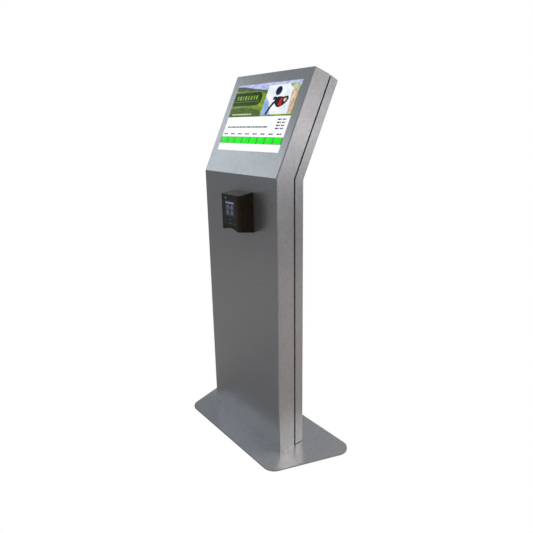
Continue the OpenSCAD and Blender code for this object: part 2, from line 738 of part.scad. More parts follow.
module mains_inlet() color(black_plastic) on_panel(inlet_x, inlet_z) difference() {
    span([-inlet_size[0] / 2, 0, 0], [inlet_size[0] / 2, inlet_size[1], inlet_size[2]]);
    // socket for the building's lead, facing down
    span([-13, 8, -eps], [13, 26, 20]);
    // rocker well and its bearing holes
    translate([0, rocker_c, rocker_z]) rotate([0, 90, 0]) {
        cylinder(r = rocker_r + 0.5, h = rocker_w + 0.6, center = true);
        cylinder(r = rocker_pin_r + bore_play, h = rocker_w + 8, center = true);
    }
}

module inlet_rocker() color([0.75, 0.08, 0.06]) on_panel(inlet_x, inlet_z)
    translate([0, rocker_c, rocker_z]) rotate([-rocker_tilt, 0, 0]) {
        difference() {
            rotate([0, 90, 0]) cylinder(r = rocker_r, h = rocker_w, center = true);
            // the two shallow faces that meet at the middle of the rocker
            for (side = [-1, 1]) rotate([side * 10, 0, 0])
                span([-rocker_w, rocker_r - 1.8, side < 0 ? 0 : -20], [rocker_w, 20, side < 0 ? 20 : 0]);
        }
        rotate([0, 90, 0]) cylinder(r = rocker_pin_r, h = rocker_w + 6, center = true);
    }

// ---------------------------------------------------------------- fan

module fan_frame() color(black_plastic) at_fan() difference() {
    union() {
        difference() {
            linear_extrude(fan_t) rounded_rect(fan_size, fan_size, 5);
            translate([0, 0, -eps]) cylinder(r = fan_duct_r + 0.5, h = fan_t + 2 * eps);
        }
        // motor seat and its struts, on the door side
        cylinder(r = 15, h = 3);
        for (a = [45:90:315]) rotate(a) span([12, -1.8, 0], [fan_duct_r + 2, 1.8, 3]);
        translate([0, 0, 2]) cylinder(r = 4, h = 12);
    }
    translate([0, 0, 3]) cylinder(r = 1.5 + bore_play, h = fan_t);
    for (x = [-1, 1], y = [-1, 1])
        translate([x * fan_hole, y * fan_hole, -eps]) cylinder(r = 2.3, h = fan_t + 2);
}

module fan_rotor() color([0.1, 0.1, 0.1]) at_fan() {
    difference() {
        translate([0, 0, 4]) cylinder(r = fan_hub_r, h = fan_t - 5);
        translate([0, 0, 3]) cylinder(r = fan_hub_r - 2, h = fan_t - 7);
    }
    translate([0, 0, 6]) cylinder(r = 1.5, h = fan_t - 8);
    intersection() {
        translate([0, 0, 4.5]) cylinder(r = fan_duct_r - 1.2, h = fan_t - 6);
        for (i = [0:fan_blades - 1]) rotate(i * 360 / fan_blades)
            translate([fan_hub_r - 1, 0, fan_t / 2 + 1])
                rotate([48, 0, 0]) span([0, -0.8, -16], [30, 0.8, 16]);
    }
}

module fan_guard() color(zinc) at_fan() translate([0, 0, fan_t + 0.9]) {
    for (r = [8:8:40]) rotate_extrude() translate([r, 0]) circle(0.9, $fn = 24);
    for (a = [45, 135]) rotate(a) translate([0, 0, 0.2]) rotate([0, 90, 0])
        cylinder(r = 0.9, h = 2 * (fan_hole * sqrt(2) - 4.2), center = true, $fn = 24);
    for (x = [-1, 1], y = [-1, 1]) translate([x * fan_hole, y * fan_hole, -0.9]) difference() {
        cylinder(r = 4.5, h = 1.8);
        translate([0, 0, -eps]) cylinder(r = 2.3, h = 5);
    }
}

module fan_screws() color(zinc) at_fan() for (x = [-1, 1], y = [-1, 1])
    translate([x * fan_hole, y * fan_hole, 0]) {
        translate([0, 0, -door_t - 1]) cylinder(r = 2, h = fan_t + door_t + 3);
        translate([0, 0, -door_t - 2]) cylinder(r = 4, h = 2);
        translate([0, 0, fan_t + 1.8]) cylinder(r = 7 / sqrt(3), h = 3, $fn = 6);
    }

// ---------------------------------------------------------------- card reader
// In the reader's frame y = 0 is the column's front face, so the reader lies at negative y.

arch_r = pow(arch_w, 2) / (8 * arch_h) + arch_h / 2;
cavity_z = reader_rise + arch_h + reader_wall;
reader_front_h = reader_h - reader_drop;
face_mid = (cavity_z + reader_front_h) / 2 + 2;
lens_z = face_mid + 7;          // middle of the display window
parting_d = 16;                 // depth of the parting line behind the reader's front

module reader_bracket() color(black_steel) difference() {
    at_reader() translate([0, -bracket_t, (cavity_z + reader_front_h) / 2])
        rounded_slab(reader_w - 12, reader_front_h - cavity_z - 12, 4, bracket_t);
    at_reader_screws() translate([0, -bracket_t - eps, 0]) rod_y(2.2, bracket_t + 2 * eps);
    at_reader() translate([0, -bracket_t - eps, reader_hole_z]) rod_y(gland_r + 2.5, bracket_t + 2 * eps);
}

module reader_housing() color(black_plastic) {
    front = -reader_d;
    difference() {
        at_reader() intersection() {
            linear_extrude(reader_h) plan(reader_w, [front, 0], reader_edge_r, 1);
            side_prism(-reader_w / 2, reader_w / 2,
                [[front, reader_rise], [0, 0], [0, reader_h], [front, reader_front_h]]);
        }
        at_reader() {
            // hollow behind the face, open to the column
            span([-reader_w / 2 + reader_wall, front + face_t + reader_wall, cavity_z],
                [reader_w / 2 - reader_wall, eps, reader_front_h - reader_wall]);
            // parting line down both sides
            both_sides() span([reader_w / 2 - 0.8, front + parting_d, -eps],
                [reader_w / 2 + eps, front + parting_d + 1.4, reader_h + eps]);
            // arch under the reader
            translate([0, front - eps, reader_rise + arch_h - arch_r]) rod_y(arch_r, reader_d - 16);
            // recess that the face sits in, and the opening behind the display
            translate([0, front - eps, face_mid]) rounded_slab(face_w + 0.4, face_h + 0.4, 5, face_t + eps);
            translate([0, front, lens_z]) rounded_slab(lens_w - 4, lens_h - 4, 2, 10);
            for (x = [-1, 1]) translate([x * (reader_w / 2), front + 22, 38])
                rotate([0, -90 * x, 0]) cylinder(r = 1.2, h = 1);
        }
        at_reader_light_pipes() translate([0, -eps, 0]) rod_y(2.7, 12);
    }
    difference() {
        at_reader_screws()
            translate([0, -reader_d + face_t + 1, 0]) rod_y(5, reader_d - face_t - 1 - bracket_t);
        at_reader_screws() translate([0, -20, 0]) rod_y(1.8, 20);
        at_reader_light_pipes() translate([0, -eps, 0]) rod_y(2.7, 12);
        at_reader() translate([0, front - eps, face_mid])
            rounded_slab(face_w + 0.4, face_h + 0.4, 5, face_t + eps);
        at_reader() translate([0, front, lens_z]) rounded_slab(lens_w - 4, lens_h - 4, 2, 10);
    }
}

// The row of status lights across the top of the face
module at_reader_light_pipes() at_reader() for (i = [-1.5:1.5])
    translate([i * 18, -reader_d, face_mid + face_h / 2 - 9]) children();

module reader_face() color([0.03, 0.03, 0.035]) difference() {
    at_reader() translate([0, -reader_d, face_mid]) rounded_slab(face_w, face_h, 5, face_t);
    at_reader() translate([0, -reader_d - eps, lens_z]) rounded_slab(lens_w, lens_h, 3, face_t + 2 * eps);
    at_reader_light_pipes() translate([0, -eps, 0]) rod_y(2.7, 12);
}

module reader_display() color([0.25, 0.28, 0.42]) at_reader() translate([0, -reader_d + 0.2, lens_z])
    rounded_slab(lens_w - 0.4, lens_h - 0.4, 3, face_t - 0.2);

module reader_light_pipes() color([0.7, 0.75, 0.72])
    at_reader_light_pipes() translate([0, 0.1, 0]) rod_y(2.5, 9);

module reader_board() color(circuit_green) at_reader()
    translate([0, -reader_d + 13, face_mid]) difference() {
        union() {
            span([-40, 0, -48], [40, 1.6, 48]);
            span([-20, 1, -20], [14, 5, 10]);
            span([-14, 1, -44], [14, 9, -32]);
        }
        for (x = [-1, 1], z = reader_screw_z)
            translate([x * reader_screw_x, -eps, z - face_mid]) rod_y(5.5, 12);
    }

module reader_screws() color(zinc) at_reader_screws() translate([0, sheet, 0]) screw_y(1.7, 4, 2.4, 16);

module reader_grommet() color(rubber) at_reader() translate([0, 0, reader_hole_z]) difference() {
    union() {
        rod_y(gland_r, sheet);
        translate([0, sheet, 0]) rod_y(gland_r + 3, 1.6);
        translate([0, -1.6, 0]) rod_y(gland_r + 2, 1.6);
    }
    translate([0, -5, 0]) rod_y(gland_r - 3, 12);
}

// ---------------------------------------------------------------- cables
// Cable points are [x, depth, height], with depth counted from the column's front face.

// A point in the head as [x, depth, height]
function in_head_at(x, h, s) = [x, head_point(h, s)[0], head_point(h, s)[1]];

module mains_cable() color(rubber) at_front() cable([
    [inlet_x + 8, panel_back + 14, inlet_z + inlet_size[2]],
    [inlet_x + 8, panel_back + 14, inlet_z + inlet_size[2] + 40],
    [terminal_x - 20, panel_back + 14, inlet_z + inlet_size[2] + 40],
    [terminal_x - 20, panel_back + 14, terminal_z]], 4);

module dc_cable() color(rubber) at_front() cable([
    [psu_x + 72, panel_back + 20, psu_z + 40],
    [psu_x + 110, panel_back + 20, psu_z + 40],
    [psu_x + 110, panel_back + 20, psu_z + psu_size[2] + 25],
    [pc_x - 50, panel_back + 20, psu_z + psu_size[2] + 25],
    [pc_x - 50, panel_back + 20, pc_z]], 3);

module display_cable() color(rubber) at_front() cable([
    [pc_x - 70, panel_back + 13, pc_z + pc_size[2] - 7.5],
    [pc_x - 70, panel_back + 13, pc_z + pc_size[2] + 30],
    [-120, 62, panel_z[1] + 40],
    [-120, 62, knee_z - 30],
    in_head_at(-120, 52, 60),
    in_head_at(-120, 52, screen_mid + 34),
    in_head_at(-120, chassis_h0 + chassis_t + 12.2, screen_mid + 34)], 3.5);

module reader_cable() color(rubber) at_front() cable([
    [reader_x, -28, reader_z + reader_hole_z],
    [reader_x, 36, reader_z + reader_hole_z],
    [reader_x, 36, panel_z[1] + 30],
    [reader_x, panel_back + 13, panel_z[1] + 30],
    [pc_x, panel_back + 13, panel_z[1] + 30],
    [pc_x, panel_back + 13, pc_z + pc_size[2] - 7.5]], 3);

earth_x = 150;
earth_z = 300;

module earth_lead() color([0.35, 0.6, 0.15]) at_front() cable([
    [earth_x, panel_back + 2, earth_z],
    [earth_x, panel_back + 12, earth_z + 12],
    [earth_x - 18, panel_back + 16, terminal_z - 60],
    [terminal_x + 30, panel_back + 16, terminal_z - 0.5]], 2);

module earth_nut() color([0.80, 0.66, 0.30]) on_panel(earth_x, earth_z - 12) {
    hex_y(10, 5);
    rod_y(2.9, 9);
}

// ---------------------------------------------------------------- nodes

base_plate();
cable_grommet();
column_bolts();
front_shell();
inner_frame();
frame_screws();
door_gasket();
rear_door();
door_stiffeners();
hinge_frame_leaves();
hinge_door_leaves();
hinge_pins();
vent_filter();
filter_retainer();
lock_bodies();
lock_nuts();
upper_lock_plug();
upper_lock_cam();
upper_cam_screw();
lower_lock_plug();
lower_lock_cam();
lower_cam_screw();
lock_strikes();
touch_glass();
glass_gasket();
lcd_panel();
display_chassis();
display_nuts();
lcd_controller();
touch_controller();
equipment_panel();
panel_screws();
pc_case();
pc_button();
pc_screws();
power_supply();
terminal_block();
mains_inlet();
inlet_rocker();
fan_frame();
fan_rotor();
fan_guard();
fan_screws();
reader_bracket();
reader_housing();
reader_face();
reader_display();
reader_light_pipes();
reader_board();
reader_screws();
reader_grommet();
mains_cable();
dc_cable();
display_cable();
reader_cable();
earth_lead();
earth_nut();
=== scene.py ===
"""Looks of the touchscreen kiosk: materials, the picture on the screen, details, light and camera.

Everything is in metres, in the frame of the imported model: +Z up, the user at -Y, +X to the user's right.
"""

import json
import math

import bmesh
import bpy
from mathutils import Matrix, Vector


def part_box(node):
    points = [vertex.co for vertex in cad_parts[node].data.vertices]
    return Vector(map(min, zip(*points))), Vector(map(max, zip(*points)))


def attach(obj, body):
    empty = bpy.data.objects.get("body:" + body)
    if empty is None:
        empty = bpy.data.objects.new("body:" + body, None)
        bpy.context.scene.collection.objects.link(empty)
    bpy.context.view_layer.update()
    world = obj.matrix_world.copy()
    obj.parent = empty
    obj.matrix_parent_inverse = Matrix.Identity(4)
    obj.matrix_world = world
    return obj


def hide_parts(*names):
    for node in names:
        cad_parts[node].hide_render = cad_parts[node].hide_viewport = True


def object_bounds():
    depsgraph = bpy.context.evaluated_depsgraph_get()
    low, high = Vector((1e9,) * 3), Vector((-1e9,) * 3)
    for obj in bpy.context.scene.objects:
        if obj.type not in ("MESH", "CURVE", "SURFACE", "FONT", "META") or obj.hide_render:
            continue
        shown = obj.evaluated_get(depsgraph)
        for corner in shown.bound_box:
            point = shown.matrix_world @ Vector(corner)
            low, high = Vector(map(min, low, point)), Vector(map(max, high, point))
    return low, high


MM = 0.001
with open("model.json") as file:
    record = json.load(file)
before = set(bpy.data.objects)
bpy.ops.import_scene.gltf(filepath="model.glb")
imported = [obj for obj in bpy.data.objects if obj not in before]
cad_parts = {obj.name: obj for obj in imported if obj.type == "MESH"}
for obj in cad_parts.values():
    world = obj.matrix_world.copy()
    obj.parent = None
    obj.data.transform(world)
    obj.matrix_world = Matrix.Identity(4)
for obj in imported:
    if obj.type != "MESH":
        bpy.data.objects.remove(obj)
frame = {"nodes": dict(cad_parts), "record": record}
cad_lo, cad_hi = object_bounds()
NODES = frame["nodes"]
SLOT_OF = {s["node"]: s["material_slot"] for s in frame["record"]["subparts"]}


def flat_face(node, toward=-1):
    """The node's largest flat face towards -Y or +Y: lower left corner, right, up, normal, width, height."""
    areas = {}
    for face in NODES[node].data.polygons:
        if face.normal.y * toward > 0.5:
            key = tuple(round(c, 3) for c in face.normal)
            key += (round(face.center.dot(face.normal), 4),)
            areas.setdefault(key, []).append(face)
    faces = max(areas.values(), key=lambda fs: sum(f.area for f in fs))
    normal = faces[0].normal.copy()
    right = Vector((-toward, 0, 0))
    up = normal.cross(right)
    corners = [NODES[node].data.vertices[i].co for f in faces for i in f.vertices]
    across = [c.dot(right) for c in corners]
    upward = [c.dot(up) for c in corners]
    origin = right * min(across) + up * min(upward) + normal * corners[0].dot(normal)
    return origin, right, up, normal, max(across) - min(across), max(upward) - min(upward)


# ---------------------------------------------------------------- shader helpers

class Shader:
    """A node material in the making: a Principled shader and short calls for what drives it."""

    def __init__(self, name):
        self.material = bpy.data.materials.new(name)
        self.material.use_nodes = True
        self.tree = self.material.node_tree
        self.bsdf = self.tree.nodes["Principled BSDF"]
        self.coords = self.tree.nodes.new("ShaderNodeTexCoord").outputs["Object"]

    def node(self, kind, **inputs):
        made = self.tree.nodes.new(kind)
        for key, value in inputs.items():
            self.feed(made.inputs[key.replace("_", " ")], value)
        return made

    def feed(self, socket, value):
        if isinstance(value, bpy.types.NodeSocket):
            self.tree.links.new(value, socket)
        else:
            socket.default_value = value

    def set(self, **inputs):
        """Sets inputs of the Principled shader, to numbers, colours or other nodes' outputs."""
        for key, value in inputs.items():
            if isinstance(value, tuple) and len(value) == 3:
                value = (*value, 1.0)
            self.feed(self.bsdf.inputs[key.replace("_", " ")], value)

    def stretched(self, scale):
        """Object coordinates, scaled by the three factors in scale."""
        made = self.node("ShaderNodeMapping", Vector=self.coords)
        made.inputs["Scale"].default_value = scale
        return made.outputs["Vector"]

    def noise(self, scale, detail=2.0, vector=None):
        made = self.node("ShaderNodeTexNoise", Vector=vector or self.coords, Scale=scale, Detail=detail)
        return made.outputs["Fac"]

    def cells(self, scale, feature="F1"):
        made = self.node("ShaderNodeTexVoronoi", Vector=self.coords, Scale=scale)
        made.feature = feature
        return made.outputs["Distance"]

    def ramp(self, fac, stops):
        """Colour ramp through stops, each (position, colour or grey value)."""
        made = self.node("ShaderNodeValToRGB", Fac=fac)
        elements = made.color_ramp.elements
        while len(elements) < len(stops):
            elements.new(0.5)
        for element, (position, value) in zip(elements, stops):
            element.position = position
            rgb = value if isinstance(value, tuple) else (value,) * 3
            element.color = (*rgb, 1.0)
        return made.outputs["Color"]

    def math(self, operation, a, b):
        made = self.tree.nodes.new("ShaderNodeMath")
        made.operation = operation
        self.feed(made.inputs[0], a)
        self.feed(made.inputs[1], b)
        return made.outputs[0]

    def axis(self, name):
        """One component, X, Y or Z, of the object coordinates."""
        return self.node("ShaderNodeSeparateXYZ", Vector=self.coords).outputs[name]

    def mix(self, fac, a, b, blend="MIX"):
        made = self.tree.nodes.new("ShaderNodeMix")
        made.data_type = "RGBA"
        made.blend_type = blend
        self.feed(made.inputs["Factor"], fac)
        for socket, value in ((made.inputs[6], a), (made.inputs[7], b)):
            self.feed(socket, (*value, 1.0) if isinstance(value, tuple) else value)
        return made.outputs[2]

    def bump(self, height, distance, strength=1.0):
        made = self.node("ShaderNodeBump", Height=height, Distance=distance, Strength=strength)
        self.feed(self.bsdf.inputs["Normal"], made.outputs["Normal"])
        return self


def srgb(r, g, b):
    """Linear colour of an sRGB colour given in 0 to 255."""
    def linear(c):
        c /= 255
        return c / 12.92 if c <= 0.04045 else ((c + 0.055) / 1.055) ** 2.4
    return (linear(r), linear(g), linear(b))


def scaled(color, factor):
    return tuple(c * factor for c in color)


# ---------------------------------------------------------------- materials

def coat():
    """Silver-grey metallic powder coat: a fine orange peel, aluminium flecks and a faint mottle."""
    s = Shader("silver_powder_coat")
    base = srgb(190, 191, 193)
    mottle = s.ramp(s.noise(110, 4), [(0.3, scaled(base, 0.90)), (0.7, scaled(base, 1.08))])
    flecks = s.ramp(s.cells(900), [(0.0, 1.12), (0.45, 0.97)])
    color = s.mix(1.0, mottle, flecks, "MULTIPLY")
    rough = s.ramp(s.noise(14, 3), [(0.3, 0.29), (0.7, 0.34)])
    s.set(Base_Color=color, Metallic=0.78, Roughness=rough)
    s.set(Coat_Weight=0.12, Coat_Roughness=0.35)
    peel = s.math("ADD", s.noise(650, 2), s.math("MULTIPLY", s.noise(140, 2), 0.7))
    return s.bump(peel, 0.05 * MM, 0.55).material


def black_steel():
    s = Shader("black_satin_steel")
    color = s.ramp(s.noise(60, 3), [(0.3, srgb(24, 24, 26)), (0.7, srgb(34, 34, 37))])
    rough = s.ramp(s.noise(25, 3), [(0.3, 0.42), (0.7, 0.52)])
    s.set(Base_Color=color, Metallic=0.3, Roughness=rough)
    return s.bump(s.noise(700, 2), 0.04 * MM, 0.5).material


def metal(name, light, dark, scale, rough, grain=(1, 1, 1)):
    """Bare or plated metal with cloudy tone and a fine grain, drawn out where grain says."""
    s = Shader(name)
    cloud = s.noise(scale, 4)
    color = s.ramp(cloud, [(0.25, dark), (0.75, light)])
    fine = s.noise(900, 2, s.stretched(grain))
    s.set(Base_Color=color, Metallic=1.0)
    s.set(Roughness=s.ramp(fine, [(0.2, rough * 0.8), (0.8, rough * 1.25)]))
    return s.bump(fine, 0.01 * MM, 0.4).material


def galvanised():
    """Zinc-dipped sheet: each crystal of the spangle has its own tone and gloss."""
    s = Shader("galvanised_sheet")
    spangle = s.node("ShaderNodeTexVoronoi", Vector=s.coords, Scale=95.0).outputs["Color"]
    color = s.ramp(spangle, [(0.2, srgb(160, 165, 169)), (0.8, srgb(190, 194, 198))])
    s.set(Base_Color=color, Metallic=0.9, Roughness=s.ramp(spangle, [(0.2, 0.50), (0.8, 0.34)]))
    return s.bump(s.noise(300, 2), 0.02 * MM, 0.4).material


def moulded(name, light, dark, rough, texture=500, depth=0.05):
    """Moulded plastic with a spark-eroded texture and a slight tone drift."""
    s = Shader(name)
    color = s.ramp(s.noise(40, 3), [(0.3, dark), (0.7, light)])
    s.set(Base_Color=color, Roughness=s.ramp(s.noise(70, 2), [(0.3, rough * 0.85), (0.7, rough * 1.15)]))
    s.set(Specular_IOR_Level=0.5)
    return s.bump(s.noise(texture, 3), depth * MM, 0.6).material


def rubber():
    s = Shader("matt_rubber")
    color = s.ramp(s.noise(80, 3), [(0.3, srgb(16, 16, 17)), (0.7, srgb(27, 27, 28))])
    s.set(Base_Color=color, Roughness=0.78, Specular_IOR_Level=0.3)
    return s.bump(s.noise(400, 3), 0.06 * MM, 0.6).material


def filter_foam():
    """Open-cell foam: thin light walls, with the pores between them darkened by painted shade and sunk by a
    bump.
    """
    s = Shader("open_cell_foam")
    pores = s.cells(420, feature="DISTANCE_TO_EDGE")
    # painted shade: the middle of each cell is darker, as if the pore lay in shadow
    color = s.ramp(pores, [(0.02, srgb(96, 98, 102)), (0.25, srgb(18, 18, 19))])
    s.set(Base_Color=color, Roughness=0.95, Specular_IOR_Level=0.1)
    return s.bump(s.math("MULTIPLY", pores, -1.0), 0.9 * MM, 1.0).material


def gloss_black():
    """Polished black face, with faint wipe marks in its gloss."""
    s = Shader("gloss_black_face")
    color = s.ramp(s.noise(30, 3), [(0.3, srgb(12, 12, 13)), (0.7, srgb(19, 18, 18))])
    smear = s.noise(35, 5, s.stretched((1, 1, 0.35)))
    s.set(Base_Color=color, Roughness=s.ramp(smear, [(0.35, 0.07), (0.7, 0.17)]))
    s.set(Coat_Weight=0.6, Coat_Roughness=0.05)
    return s.bump(s.noise(18, 2), 0.02 * MM, 0.2).material


def touch_glass():
    s = Shader("dark_touch_glass")
    color = s.ramp(s.noise(12, 2), [(0.3, srgb(8, 9, 11)), (0.7, srgb(13, 14, 17))])
    smear = s.noise(22, 5, s.stretched((1, 0.4, 0.4)))
    s.set(Base_Color=color, Roughness=s.ramp(smear, [(0.35, 0.03), (0.75, 0.10)]), IOR=1.52)
    return s.bump(s.noise(9, 2), 0.01 * MM, 0.15).material


def display_surface():
    s = Shader("display_module_frame")
    color = s.ramp(s.noise(50, 2), [(0.3, srgb(30, 31, 34)), (0.7, srgb(44, 45, 49))])
    s.set(Base_Color=color, Roughness=0.4, Metallic=0.2)
    return s.bump(s.noise(500, 2), 0.02 * MM, 0.3).material


def reader_display():
    s = Shader("reader_window")
    color = s.ramp(s.noise(60, 2), [(0.3, srgb(20, 21, 30)), (0.7, srgb(30, 31, 44))])
    s.set(Base_Color=color, Roughness=0.09, Coat_Weight=0.5, Coat_Roughness=0.03)
    return s.bump(s.noise(20, 2), 0.01 * MM, 0.2).material


def light_pipe():
    """Frosted light pipes. The one at the left glows green, the others are off."""
    s = Shader("frosted_light_pipe")
    lo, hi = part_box("reader_light_pipes")
    is_lit = s.math("LESS_THAN", s.axis("X"), lo.x + 0.25 * (hi.x - lo.x))
    frost = s.ramp(s.noise(900, 2), [(0.3, 0.75), (0.7, 1.0)])
    color = s.mix(is_lit, scaled(srgb(74, 70, 66), 0.6), srgb(20, 150, 80))
    s.set(Base_Color=s.mix(1.0, color, frost, "MULTIPLY"), Roughness=0.35)
    s.set(Emission_Color=srgb(30, 200, 105), Emission_Strength=s.math("MULTIPLY", is_lit, 0.9))
    return s.bump(s.noise(900, 2), 0.03 * MM, 0.5).material


def circuit_board(node):
    """Solder mask over copper tracks that run in two directions, and black where a part stands on it."""
    s = Shader(node + "_finish")
    mask = s.ramp(s.noise(60, 3), [(0.3, srgb(12, 62, 34)), (0.7, srgb(18, 78, 44))])
    waves = []
    for direction, scale, wobble in (("Z", 95.0, 2.2), ("X", 80.0, 1.4)):
        wave = s.node("ShaderNodeTexWave", Vector=s.coords, Scale=scale, Distortion=wobble, Detail=0.0)
        wave.bands_direction = direction
        waves.append(wave.outputs["Fac"])
    choice = s.math("GREATER_THAN", s.noise(45, 1), 0.5)
    track = s.math("ADD", s.math("MULTIPLY", waves[0], choice),
                   s.math("MULTIPLY", waves[1], s.math("SUBTRACT", 1.0, choice)))
    is_track = s.math("GREATER_THAN", track, 0.72)
    board = s.mix(is_track, mask, srgb(36, 112, 66))
    origin, _, _, normal, _, _ = flat_face(node, 1)
    height = s.tree.nodes.new("ShaderNodeVectorMath")
    height.operation = "DOT_PRODUCT"
    s.feed(height.inputs[0], s.coords)
    height.inputs[1].default_value = normal
    is_part = s.math("GREATER_THAN", height.outputs["Value"], origin.dot(normal) + 0.3 * MM)
    parts = s.ramp(s.noise(150, 3), [(0.3, srgb(20, 20, 22)), (0.7, srgb(36, 36, 39))])
    s.set(Base_Color=s.mix(is_part, board, parts), Specular_IOR_Level=0.5)
    s.set(Roughness=s.ramp(is_part, [(0.0, 0.32), (1.0, 0.55)]))
    return s.bump(is_track, 0.05 * MM, 0.6).material


def cable_jacket(name, light, dark):
    s = Shader(name)
    color = s.ramp(s.noise(70, 3), [(0.3, dark), (0.7, light)])
    s.set(Base_Color=color, Roughness=0.5, Specular_IOR_Level=0.4)
    return s.bump(s.noise(260, 3), 0.06 * MM, 0.5).material


def earth_insulation():
    """Green insulation with the yellow stripe that winds along an earth lead."""
    s = Shader("earth_lead_insulation")
    wave = s.node("ShaderNodeTexWave", Vector=s.coords, Scale=60.0, Distortion=0.0)
    wave.bands_direction = "DIAGONAL"
    stripe = s.math("GREATER_THAN", wave.outputs["Fac"], 0.55)
    s.set(Base_Color=s.mix(stripe, srgb(28, 120, 48), srgb(226, 205, 40)), Roughness=0.45)
    return s.bump(s.noise(300, 3), 0.05 * MM, 0.5).material


MATERIALS = {
    # one for each slot of the record, except circuit_board, whose material needs each board's own plane
    "coat": coat(),
    "black_steel": black_steel(),
    "zinc": metal("zinc_plate", srgb(196, 198, 196), srgb(158, 160, 160), 120, 0.32),
    "chromed": metal("chrome_plate", srgb(222, 224, 228), srgb(200, 202, 206), 60, 0.13),
    "galvanised": galvanised(),
    "rubber": rubber(),
    "filter_foam": filter_foam(),
    "black_plastic": moulded("textured_black_plastic", srgb(44, 39, 34), srgb(27, 24, 21), 0.42),
    "gloss_black": gloss_black(),
    "touch_glass": touch_glass(),
    "display_surface": display_surface(),
    "reader_display": reader_display(),
    "light_pipe": light_pipe(),
    "grey_plastic": moulded("grey_plastic", srgb(150, 152, 154), srgb(132, 134, 136), 0.5),
    "red_plastic": moulded("red_plastic", srgb(178, 28, 24), srgb(150, 20, 18), 0.35, 300, 0.02),
    "cable_black": cable_jacket("black_cable_jacket", srgb(34, 34, 36), srgb(22, 22, 24)),
    "earth_insulation": earth_insulation(),
    "brass": metal("brass", srgb(206, 172, 98), srgb(176, 140, 74), 90, 0.28),
}


def reader_shell():
    """The textured black plastic of the card reader. Its brown tint and the warm tint of its sheen are
    painted warm light, standing in for the warm light that its top mirrors.
    """
    # painted warm light: the black base is tinted brown so that the lit top reads warm
    material = moulded("reader_black_plastic", srgb(48, 40, 29), srgb(30, 25, 18), 0.40)
    shader = material.node_tree.nodes["Principled BSDF"]
    # painted warm reflection: the sheen is tinted warm, as if the light it mirrors were warm
    shader.inputs["Specular Tint"].default_value = (*srgb(255, 226, 186), 1.0)
    return material


OWN_LOOK = {
    # nodes that look different from the rest of their slot
    "power_supply": metal("satin_aluminium", srgb(222, 224, 226), srgb(206, 208, 210), 30, 0.36,
                          (1, 1, 0.04)),
    "reader_housing": reader_shell(),
}


# ---------------------------------------------------------------- materials and edges of the CAD nodes

# Widths of the softened edges, in mm
EDGE = {"base_plate": 0.9, "front_shell": 0.45, "rear_door": 0.5, "inner_frame": 0.35, "reader_housing": 0.6,
        "pc_case": 0.6, "power_supply": 0.5, "door_gasket": 0.6, "vent_filter": 1.0}
EDGE_DEFAULT = 0.2
SHARP_ANGLE = 32        # edges that turn more than this are softened, in degrees
FLAT_ANGLE = 0.3        # faces that turn less than this are merged, in degrees
WELD_GAP = 0.002        # points closer than this are merged, in mm
KNEE_ANGLE = 18         # on pieces that follow the knee, so that its edge is softened too
KNEE_NODES = ("front_shell", "rear_door", "inner_frame", "door_gasket", "door_stiffeners")
KEEP_AS_IS = ("fan_guard",)     # thin wires, whose edges are left as packed


def finish_edges(name, obj):
    """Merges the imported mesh, softens its sharp edges and weights its normals by face area."""
    mesh = obj.data
    if "custom_normal" in mesh.attributes:
        mesh.attributes.remove(mesh.attributes["custom_normal"])
    mesh.shade_smooth()
    weld = obj.modifiers.new("weld", "WELD")
    weld.merge_threshold = WELD_GAP * MM
    if name in KEEP_AS_IS:
        return
    flat = obj.modifiers.new("flat_faces", "DECIMATE")
    flat.decimate_type = "DISSOLVE"
    flat.angle_limit = math.radians(FLAT_ANGLE)
    bevel = obj.modifiers.new("edges", "BEVEL")
    bevel.width = EDGE.get(name, EDGE_DEFAULT) * MM
    bevel.segments = 2
    bevel.limit_method = "ANGLE"
    bevel.angle_limit = math.radians(KNEE_ANGLE if name in KNEE_NODES else SHARP_ANGLE)
    bevel.use_clamp_overlap = True
    normals = obj.modifiers.new("normals", "WEIGHTED_NORMAL")
    normals.weight = 80
    normals.keep_sharp = False


for node_name, node_object in NODES.items():
    for material_slot in node_object.material_slots:
        if SLOT_OF[node_name] == "circuit_board":
            material_slot.material = circuit_board(node_name)
        else:
            material_slot.material = OWN_LOOK.get(node_name, MATERIALS.get(SLOT_OF[node_name]))
    finish_edges(node_name, node_object)


# ---------------------------------------------------------------- mesh helpers

def new_object(name, bm, materials, body):
    """Turns bm into a piece that rides on body."""
    bmesh.ops.recalc_face_normals(bm, faces=bm.faces)
    mesh = bpy.data.meshes.new(name)
    bm.to_mesh(mesh)
    bm.free()
    obj = bpy.data.objects.new(name, mesh)
    bpy.context.scene.collection.objects.link(obj)
    for material in materials:
        mesh.materials.append(material)
    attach(obj, body)


